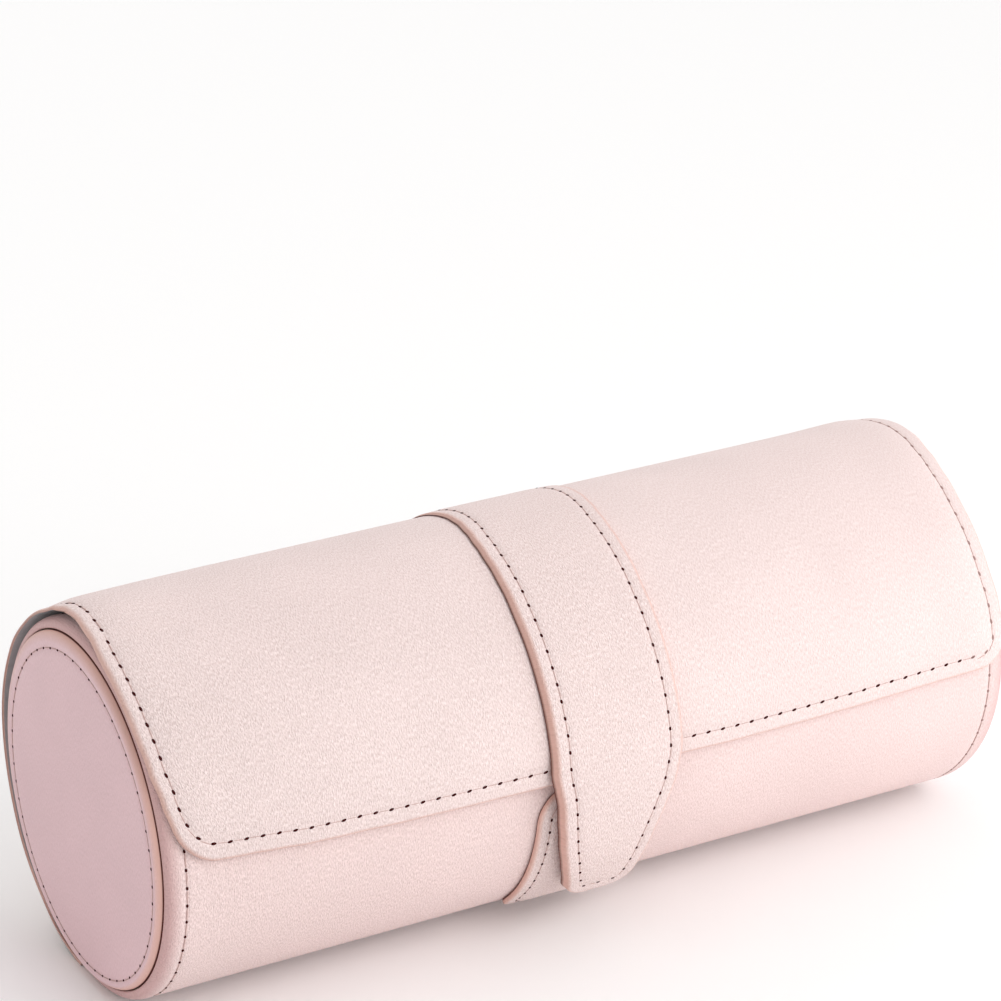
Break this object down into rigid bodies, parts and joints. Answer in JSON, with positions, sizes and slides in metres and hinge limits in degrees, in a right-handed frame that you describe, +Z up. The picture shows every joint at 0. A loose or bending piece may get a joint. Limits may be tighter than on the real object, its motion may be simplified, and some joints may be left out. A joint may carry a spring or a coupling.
{
  "type": "travel jewelry case",
  "caption": "Round leather travel case for watches and bracelets: a stiff lined tube with cushions, a wrap-over flap and a tapered strap that closes on a tab.",
  "frame": {"origin": "middle of the flattened strip the closed case rests on, below the tube axis", "axes": "+X along the tube from the left end to the right end, -Y to the front where the flap and strap close, +Z up"},
  "size_m": [0.2038, 0.0889, 0.0834],
  "materials": {
    "leather": "fine pebbled grain, satin",
    "suede": "short-napped suede",
    "board": "pressed board, hidden",
    "magnet": "plated, hidden"
  },
  "bodies": {
    "case_body": {"body_wrap": "leather", "tube_shell": "board", "tube_lining": "suede", "end_board_left": "board", "end_board_right": "board", "end_cover_left": "leather", "end_cover_right": "leather", "end_lining_left": "suede", "end_lining_right": "suede", "divider_left": "suede", "divider_right": "suede", "cushion_left": "suede", "cushion_middle": "suede", "cushion_right": "suede", "closure_tab": "leather", "tab_magnet": "magnet"},
    "flap_1": {"flap_leather_1": "leather", "flap_lining_1": "suede"},
    "flap_2": {"flap_leather_2": "leather", "flap_lining_2": "suede", "strap_2": "leather"},
    "flap_3": {"flap_leather_3": "leather", "flap_lining_3": "suede", "strap_3": "leather"},
    "flap_4": {"flap_leather_4": "leather", "flap_lining_4": "suede", "strap_4": "leather"},
    "flap_5": {"flap_leather_5": "leather", "flap_lining_5": "suede", "strap_5": "leather"},
    "flap_6": {"flap_leather_6": "leather", "flap_lining_6": "suede"},
    "strap_free": {"strap_front": "leather"},
    "strap_end": {"strap_tip": "leather", "strap_magnet": "magnet"}
  },
  "joints": [
    {"name": "flap_hinge", "type": "hinge", "parent": "case_body", "child": "flap_1", "pos_m": [0, 0.02152, 0.00212], "axis": [-1, 0, 0], "range_deg": [0, 32]},
    {"name": "flap_fold_2", "type": "hinge", "parent": "flap_1", "child": "flap_2", "pos_m": [0, 0.04026, 0.02415], "axis": [-1, 0, 0], "range_deg": [0, 32.1]},
    {"name": "flap_fold_3", "type": "hinge", "parent": "flap_2", "child": "flap_3", "pos_m": [0, 0.04121, 0.05319], "axis": [-1, 0, 0], "range_deg": [0, 35.3]},
    {"name": "flap_fold_4", "type": "hinge", "parent": "flap_3", "child": "flap_4", "pos_m": [0, 0.02328, 0.07629], "axis": [-1, 0, 0], "range_deg": [0, 35.3]},
    {"name": "flap_fold_5", "type": "hinge", "parent": "flap_4", "child": "flap_5", "pos_m": [0, -0.00538, 0.08325], "axis": [-1, 0, 0], "range_deg": [0, 38.5]},
    {"name": "flap_fold_6", "type": "hinge", "parent": "flap_5", "child": "flap_6", "pos_m": [0, -0.03242, 0.07043], "axis": [-1, 0, 0], "range_deg": [0, 38.5]},
    {"name": "strap_lift", "type": "hinge", "parent": "flap_6", "child": "strap_free", "pos_m": [0, -0.03242, 0.07043], "axis": [-1, 0, 0], "range_deg": [0, 40]},
    {"name": "strap_curl", "type": "hinge", "parent": "strap_free", "child": "strap_end", "pos_m": [0, -0.04505, 0.04493], "axis": [-1, 0, 0], "range_deg": [0, 40.1]}
  ],
  "couplings": [
    {"joint": "flap_fold_2", "follows": "flap_hinge", "ratio": 1},
    {"joint": "flap_fold_3", "follows": "flap_hinge", "ratio": 1.1},
    {"joint": "flap_fold_4", "follows": "flap_hinge", "ratio": 1.1},
    {"joint": "flap_fold_5", "follows": "flap_hinge", "ratio": 1.2},
    {"joint": "flap_fold_6", "follows": "flap_hinge", "ratio": 1.2},
    {"joint": "strap_curl", "follows": "strap_lift", "ratio": 1}
  ]
}
